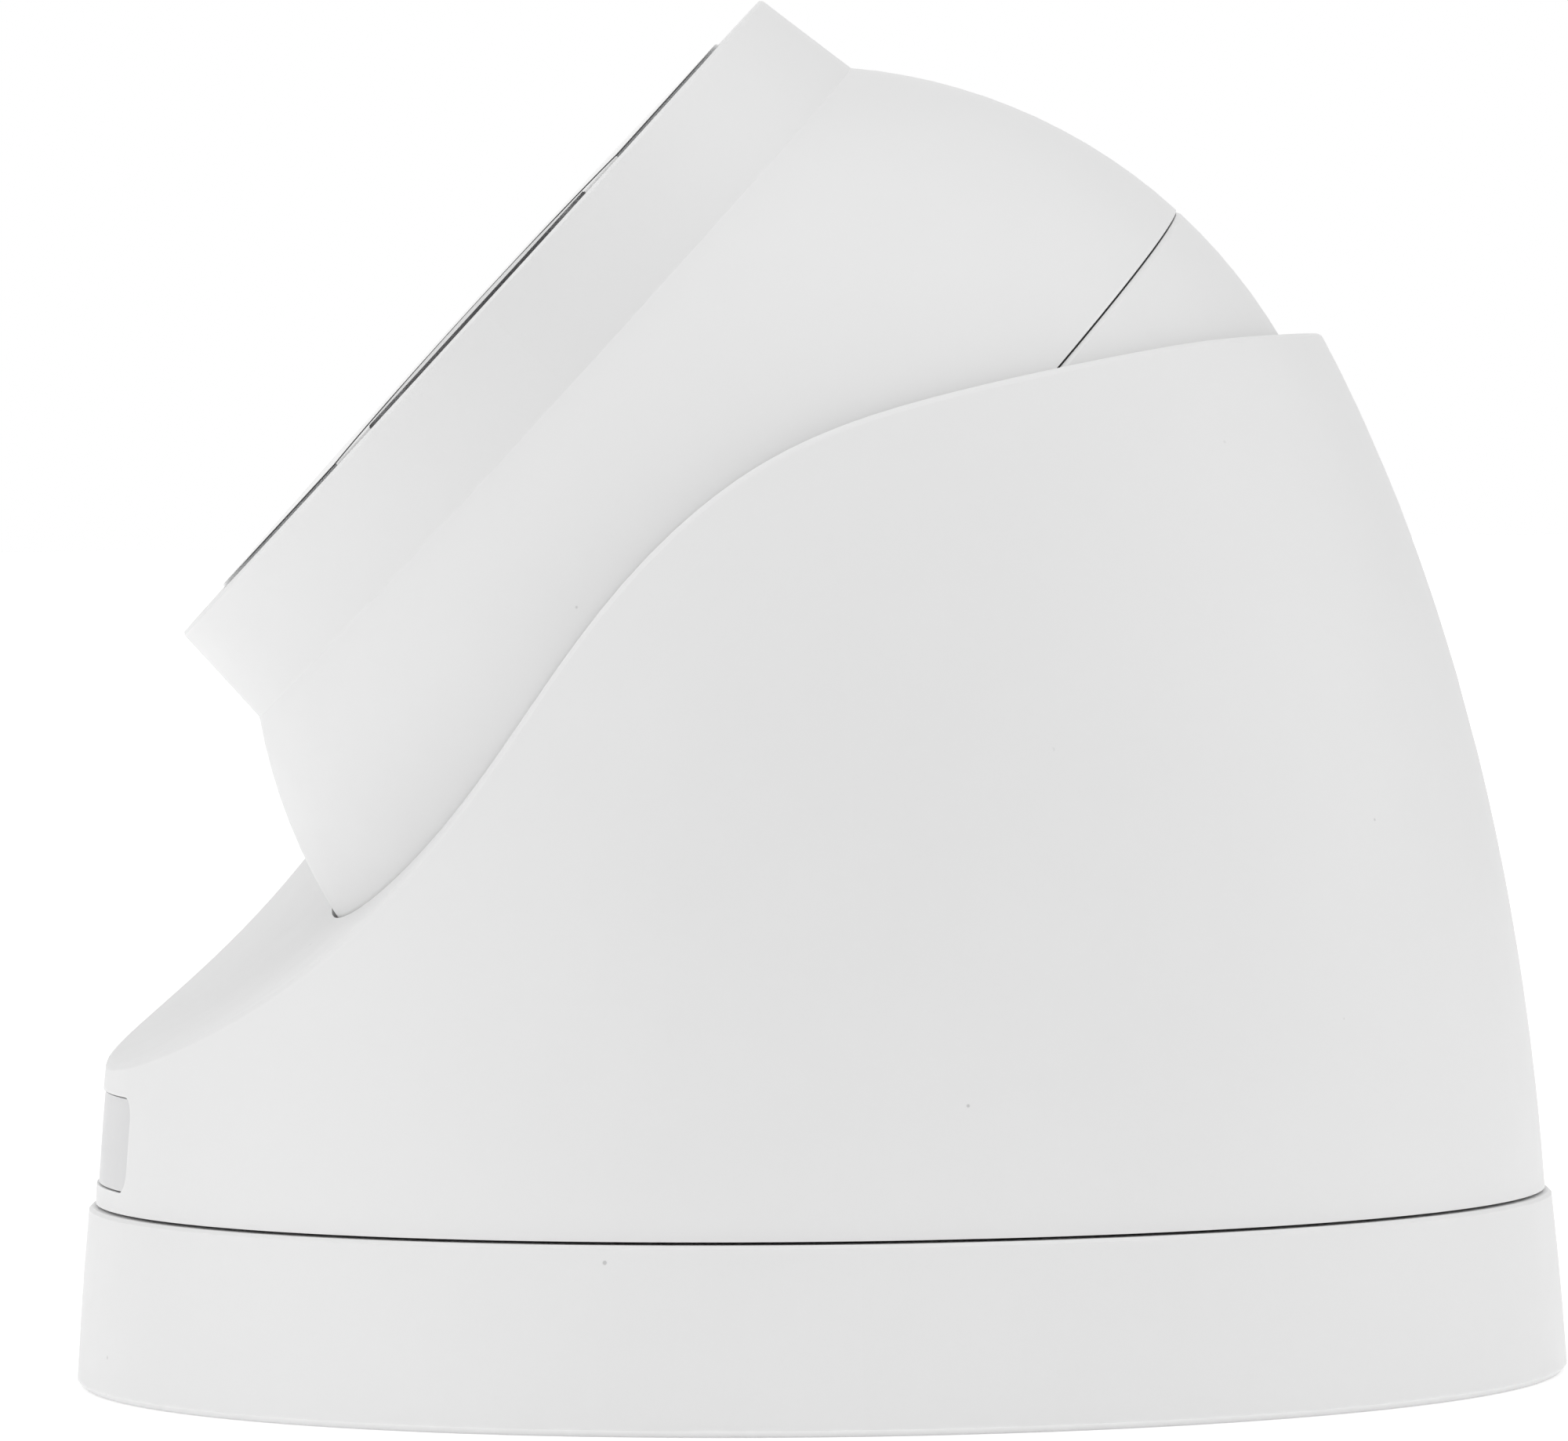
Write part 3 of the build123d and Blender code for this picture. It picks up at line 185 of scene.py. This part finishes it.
def metal(name, colour, roughness=0.3, brushed=0.0, cast=0.0, **shader):
    """Bare or plated metal: fine lines when brushed or turned, a pebbled skin when cast."""
    s = Surface(name)
    smear = s.noise(5, detail=5, rough=0.6)
    tone = s.mix(s.spread(smear, 0.35, 0.7), shade(colour, 0.88), colour)
    s.link(tone, s.shader.inputs["Base Color"])
    lines = s.noise(0.25, detail=3, place=s.stretched(0.06, 1.0, 1.0))
    spread = s.math("ADD", s.math("MULTIPLY", lines, 0.16), s.math("MULTIPLY", smear, 0.14))
    s.link(s.math("ADD", spread, roughness - 0.15), s.shader.inputs["Roughness"])
    normal = s.bump(lines, 0.004 + brushed)
    normal = s.bump(s.noise(0.6, detail=3), 0.002 + cast, normal)
    s.link(normal, s.shader.inputs["Normal"])
    return s.set(Metallic=1.0, **shader).material


def clear(name, colour, roughness=0.03, smudge=0.05, **shader):
    """Glass or clear plastic with faint wipe marks."""
    s = Surface(name)
    strokes = s.noise(11, detail=5, rough=0.65, place=s.stretched(1.0, 0.35, 1.0))
    wiped = s.spread(strokes, 0.45, 0.75)
    s.link(s.spread(wiped, 0, 1, roughness, roughness + smudge), s.shader.inputs["Roughness"])
    s.link(s.mix(wiped, colour, shade(colour, 0.97)), s.shader.inputs["Base Color"])
    s.link(s.bump(s.noise(24, detail=0), 0.004), s.shader.inputs["Normal"])
    return s.set(**shader).material


def board(name, colour, copper):
    """Circuit board: solder mask over a field of tracks, with bare pads."""
    s = Surface(name)
    track = s.tree.nodes.new("ShaderNodeTexBrick")
    track.offset = 0.37
    track.squash = 0.6
    track.inputs["Scale"].default_value = 1 / (6 * MM)
    track.inputs["Mortar Size"].default_value = 0.035
    track.inputs["Color1"].default_value = (0, 0, 0, 1)
    track.inputs["Color2"].default_value = (0, 0, 0, 1)
    track.inputs["Mortar"].default_value = (1, 1, 1, 1)
    s.link(s.place, track.inputs["Vector"])
    raised = track.outputs["Fac"]
    pads = s.spread(s.cells(2.2), 0.2, 0.14)
    bare = s.math("MULTIPLY", pads, s.spread(s.noise(9, detail=0), 0.52, 0.56))
    tone = s.mix(raised, colour, shade(colour, 1.9))
    tone = s.mix(bare, tone, copper)
    s.link(tone, s.shader.inputs["Base Color"])
    s.link(s.math("MULTIPLY", bare, 0.9), s.shader.inputs["Metallic"])
    s.link(s.spread(s.noise(2, detail=3), 0.3, 0.7, 0.25, 0.4), s.shader.inputs["Roughness"])
    s.link(s.bump(s.math("ADD", raised, bare), 0.03), s.shader.inputs["Normal"])
    return s.material


# =====================================================================================
# Materials: one for each of the record's slots
# =====================================================================================
WHITE = (0.80, 0.80, 0.80)
slots = {
    "white_shell": moulded("white_shell", WHITE, IOR=1.48),
    "badge_grey": moulded("badge_grey", (0.66, 0.66, 0.665), roughness=0.35, specks=False),
    "foam": rubber("foam", (0.05, 0.05, 0.052), roughness=0.9, grain=0.45, depth=0.08),
    "black_rubber": rubber("black_rubber", (0.022, 0.022, 0.023), roughness=0.62),
    "grey_plastic": moulded("grey_plastic", (0.36, 0.36, 0.37), roughness=0.5, depth=0.012),
    "steel_screws": metal("steel_screws", (0.58, 0.575, 0.57), roughness=0.32),
    "window_glass": clear("window_glass", (0.93, 0.94, 0.95), Transmission_Weight=1.0, IOR=1.49),
    "mask_black": moulded(
        "mask_black", (0.006, 0.006, 0.007), roughness=0.16, depth=0.001, specks=False
    ),
    "lamp_diffuser": clear(
        "lamp_diffuser", (0.42, 0.42, 0.43), roughness=0.12, Transmission_Weight=0.92, IOR=1.49
    ),
    "cast_metal": metal("cast_metal", (0.5, 0.5, 0.505), roughness=0.45, cast=0.03),
    "circuit_board": board("circuit_board", (0.012, 0.075, 0.03), (0.75, 0.5, 0.2)),
    "sensor_die": clear("sensor_die", (0.03, 0.035, 0.06), roughness=0.05, Coat_Weight=1.0),
    "led_white": moulded(
        "led_white", (0.8, 0.72, 0.4), roughness=0.25, specks=False, Coat_Weight=0.8
    ),
    "reflector_metal": metal("reflector_metal", (0.86, 0.86, 0.87), roughness=0.16),
    "black_plastic": moulded("black_plastic", (0.014, 0.014, 0.015), roughness=0.48, depth=0.012),
    "heat_pad_grey": rubber("heat_pad_grey", (0.32, 0.35, 0.4), roughness=0.6),
    "brass_standoff": metal("brass_standoff", (0.72, 0.5, 0.2), roughness=0.28),
    "component_yellow": moulded(
        "component_yellow", (0.62, 0.42, 0.03), roughness=0.3, specks=False
    ),
    "steel_can": metal("steel_can", (0.66, 0.66, 0.67), roughness=0.28, brushed=0.01),
    "lens_glass": clear("lens_glass", (0.86, 0.9, 1.0), Transmission_Weight=1.0, IOR=1.62),
    "filter_glass": clear("filter_glass", (0.7, 0.93, 0.95), Transmission_Weight=1.0, IOR=1.52),
    "button_red": moulded("button_red", (0.5, 0.03, 0.02), roughness=0.32, specks=False),
}
for row in frame["record"]["subparts"]:
    mesh = nodes[row["node"]].data
    mesh.materials.clear()
    mesh.materials.append(slots[row["material_slot"]])


# =====================================================================================
# Studio: pale floor, white surround and soft light
# =====================================================================================
FLOOR_SIZE = 30.0
FLOOR_DROP = 0.02 * MM  # below the part, so the two faces don't share a plane
FLOOR_GLOW = 0.25  # keeps the floor as white as the surround


def studio_floor():
    """A wide pale floor under the part."""
    bpy.ops.mesh.primitive_plane_add(size=FLOOR_SIZE, location=(0, 0, cad_box[0][2] - FLOOR_DROP))
    floor = bpy.context.object
    floor.name = "studio_floor"
    s = Surface("studio_floor")
    tone = s.mix(s.noise(60, detail=3), (0.935, 0.935, 0.935), (0.945, 0.945, 0.945))
    s.link(tone, s.shader.inputs["Base Color"])
    s.set(Roughness=0.9, Specular_IOR_Level=0.2)
    s.shader.inputs["Emission Color"].default_value = (1, 1, 1, 1)
    s.shader.inputs["Emission Strength"].default_value = FLOOR_GLOW
    floor.data.materials.append(s.material)


# Seven big soft lights: the direction each comes from, and its strength.
LIGHTS = [
    ((-1, 0, 0), 1.0),  # pale backdrop beyond the part
    ((0, -1, 0), 0.8),  # low, in front of the camera's head
    ((0, 0, 1), 0.8),  # overhead
    ((1, 0, 1), 0.7),  # above the viewer
    ((0, -1, 1), 0.85),  # high, in front
    ((0, 1, 0), 0.4),  # low, behind
    ((0, 1, 1), 1.0),  # high, behind
]
FALL_OFF = 4.0  # how quickly each light fades away from its middle


def surround():
    """White to look at, and as a light the sum of the soft lights."""
    world = bpy.data.worlds.new("surround")
    bpy.context.scene.world = world
    world.use_nodes = True
    tree = world.node_tree
    tree.nodes.clear()
    towards = tree.nodes.new("ShaderNodeTexCoord").outputs["Generated"]

    def compute(kind, operation, a, b):
        node = tree.nodes.new(kind)
        node.operation = operation
        for socket, value in zip(node.inputs, (a, b)):
            if isinstance(value, bpy.types.NodeSocket):
                tree.links.new(value, socket)
            else:
                socket.default_value = value
        return node.outputs["Value"]

    total = 0.0
    for source, strength in LIGHTS:
        middle = Vector(source).normalized()
        facing = compute("ShaderNodeVectorMath", "DOT_PRODUCT", towards, middle)
        ahead = compute("ShaderNodeMath", "MAXIMUM", facing, 0.0)
        soft = compute("ShaderNodeMath", "POWER", ahead, FALL_OFF)
        share = compute("ShaderNodeMath", "MULTIPLY", soft, strength)
        total = compute("ShaderNodeMath", "ADD", total, share)
    light = tree.nodes.new("ShaderNodeBackground")
    white = tree.nodes.new("ShaderNodeBackground")
    for background in (light, white):
        background.inputs["Color"].default_value = (1, 1, 1, 1)
    tree.links.new(total, light.inputs["Strength"])
    seen = tree.nodes.new("ShaderNodeLightPath").outputs["Is Camera Ray"]
    pick = tree.nodes.new("ShaderNodeMixShader")
    tree.links.new(seen, pick.inputs["Fac"])
    tree.links.new(light.outputs[0], pick.inputs[1])
    tree.links.new(white.outputs[0], pick.inputs[2])
    output = tree.nodes.new("ShaderNodeOutputWorld")
    tree.links.new(pick.outputs[0], output.inputs["Surface"])


studio_floor()
surround()

# =====================================================================================
# Camera: about a metre off, level with the ball, on the part's right-hand side
# =====================================================================================
EYE = Vector((0.998335, -0.051679, 0.082292))
HEADING = 177.201  # degrees from +X towards +Y
PITCH = -1.2348
ROLL = -0.6502
LENS = 246.8
SENSOR = 36.0

camera_data = bpy.data.cameras.new("camera")
camera_data.lens = LENS
camera_data.sensor_width = SENSOR
camera_data.sensor_fit = "HORIZONTAL"
camera_data.clip_start = 0.01
camera_data.clip_end = 60
camera = bpy.data.objects.new("camera", camera_data)
bpy.context.scene.collection.objects.link(camera)
camera.matrix_world = (
    Matrix.Translation(EYE)
    @ Matrix.Rotation(radians(HEADING - 90), 4, "Z")
    @ Matrix.Rotation(radians(PITCH + 90), 4, "X")
    @ Matrix.Rotation(radians(ROLL), 4, "Z")
)
bpy.context.scene.camera = camera
bpy.context.scene.view_settings.view_transform = "Standard"
